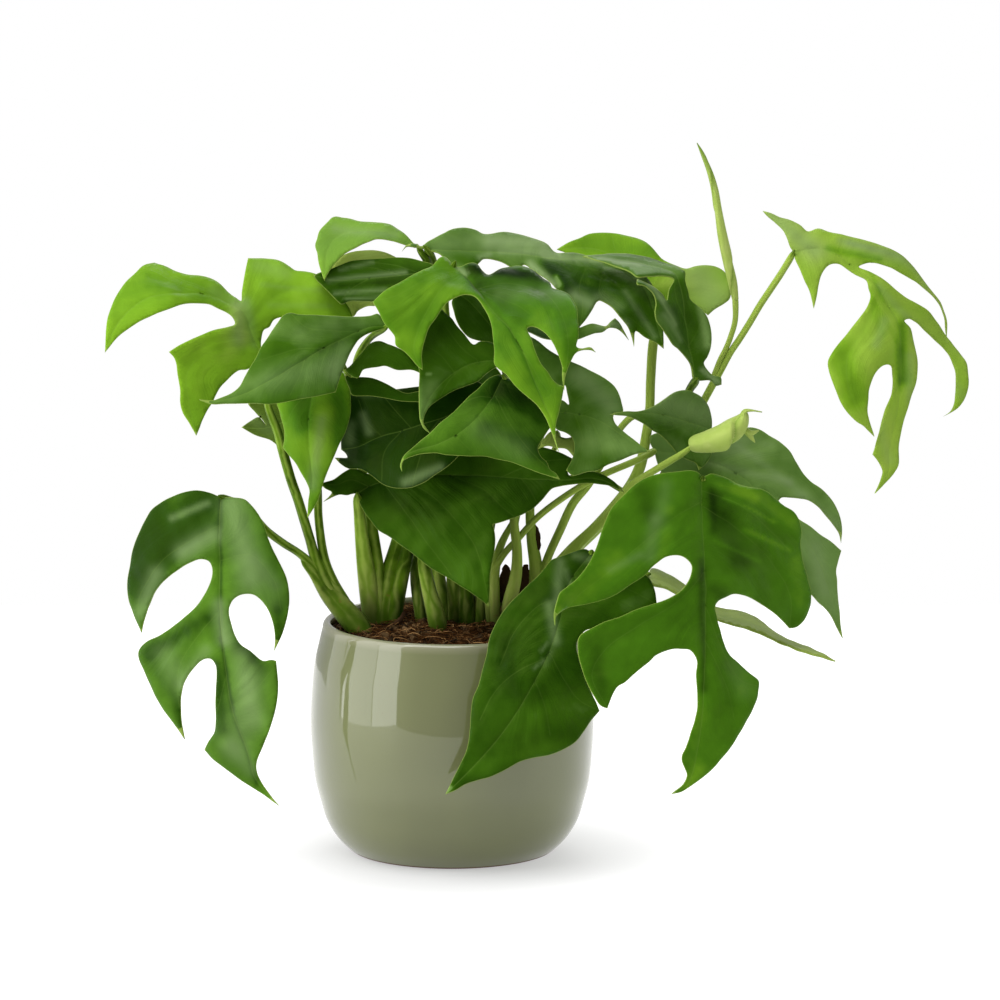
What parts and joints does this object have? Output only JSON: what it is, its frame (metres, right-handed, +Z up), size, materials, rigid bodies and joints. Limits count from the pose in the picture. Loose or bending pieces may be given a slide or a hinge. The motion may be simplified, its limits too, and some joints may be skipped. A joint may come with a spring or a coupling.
{
  "type": "potted mini monstera plant",
  "caption": "Bushy climbing aroid with deeply cut glossy leaves on arching stalks, one spear-like new leaf, in a round sage-green glazed pot filled with soil.",
  "frame": {"origin": "centre of the flat base of the pot", "axes": "+Z up the pot's axis, -Y towards the front of the plant, +X to the right as seen from the front"},
  "size_m": [0.4286, 0.2166, 0.3571],
  "materials": {
    "pot_glaze": "glossy sage-green glaze",
    "soil": "loose dark coir and bark",
    "stalk": "smooth green stalk",
    "leaf_bright": "glossy bright green leaf",
    "leaf_mid": "glossy mid green leaf",
    "leaf_dark": "glossy dark green leaf",
    "leaf_olive": "matt pale underside of a leaf",
    "leaf_young": "smooth pale new leaf"
  },
  "bodies": {
    "root": {"pot": "pot_glaze", "soil": "soil", "shoot_left": "stalk", "shoot_mid_left": "stalk", "shoot_centre": "stalk", "shoot_right": "stalk", "shoot_back": "stalk", "leaf_low_left": "leaf_mid", "leaf_upper_left": "leaf_bright", "leaf_front_left": "leaf_dark", "leaf_hanging_left": "leaf_bright", "leaf_tucked_left": "leaf_olive", "leaf_top_front": "leaf_bright", "leaf_top_dark": "leaf_dark", "leaf_upper_right": "leaf_dark", "leaf_top_left": "leaf_bright", "leaf_olive_left": "leaf_olive", "leaf_striped_left": "leaf_dark", "leaf_back_top": "leaf_bright", "leaf_far_right": "leaf_bright", "leaf_low_right": "leaf_bright", "leaf_over_pot": "leaf_dark", "leaf_behind_right": "leaf_dark", "leaf_edge_on": "leaf_olive", "leaf_mid_right": "leaf_dark", "leaf_centre_right": "leaf_dark", "leaf_centre": "leaf_mid", "leaf_centre_arch": "leaf_dark", "leaf_centre_back": "leaf_dark", "leaf_centre_left": "leaf_dark", "leaf_ribbon": "leaf_dark", "leaf_layer": "leaf_dark", "leaf_centre_low": "leaf_dark", "leaf_tucked_centre": "leaf_olive", "leaf_back_left": "leaf_mid", "leaf_back_centre": "leaf_mid", "leaf_back_right": "leaf_mid", "leaf_back_upper": "leaf_mid", "leaf_back_mid_right": "leaf_mid", "leaf_back_low": "leaf_mid", "leaf_back_low_right": "leaf_mid", "new_leaf_spear": "leaf_young", "new_leaf_rolled": "leaf_young"}
  },
  "joints": []
}
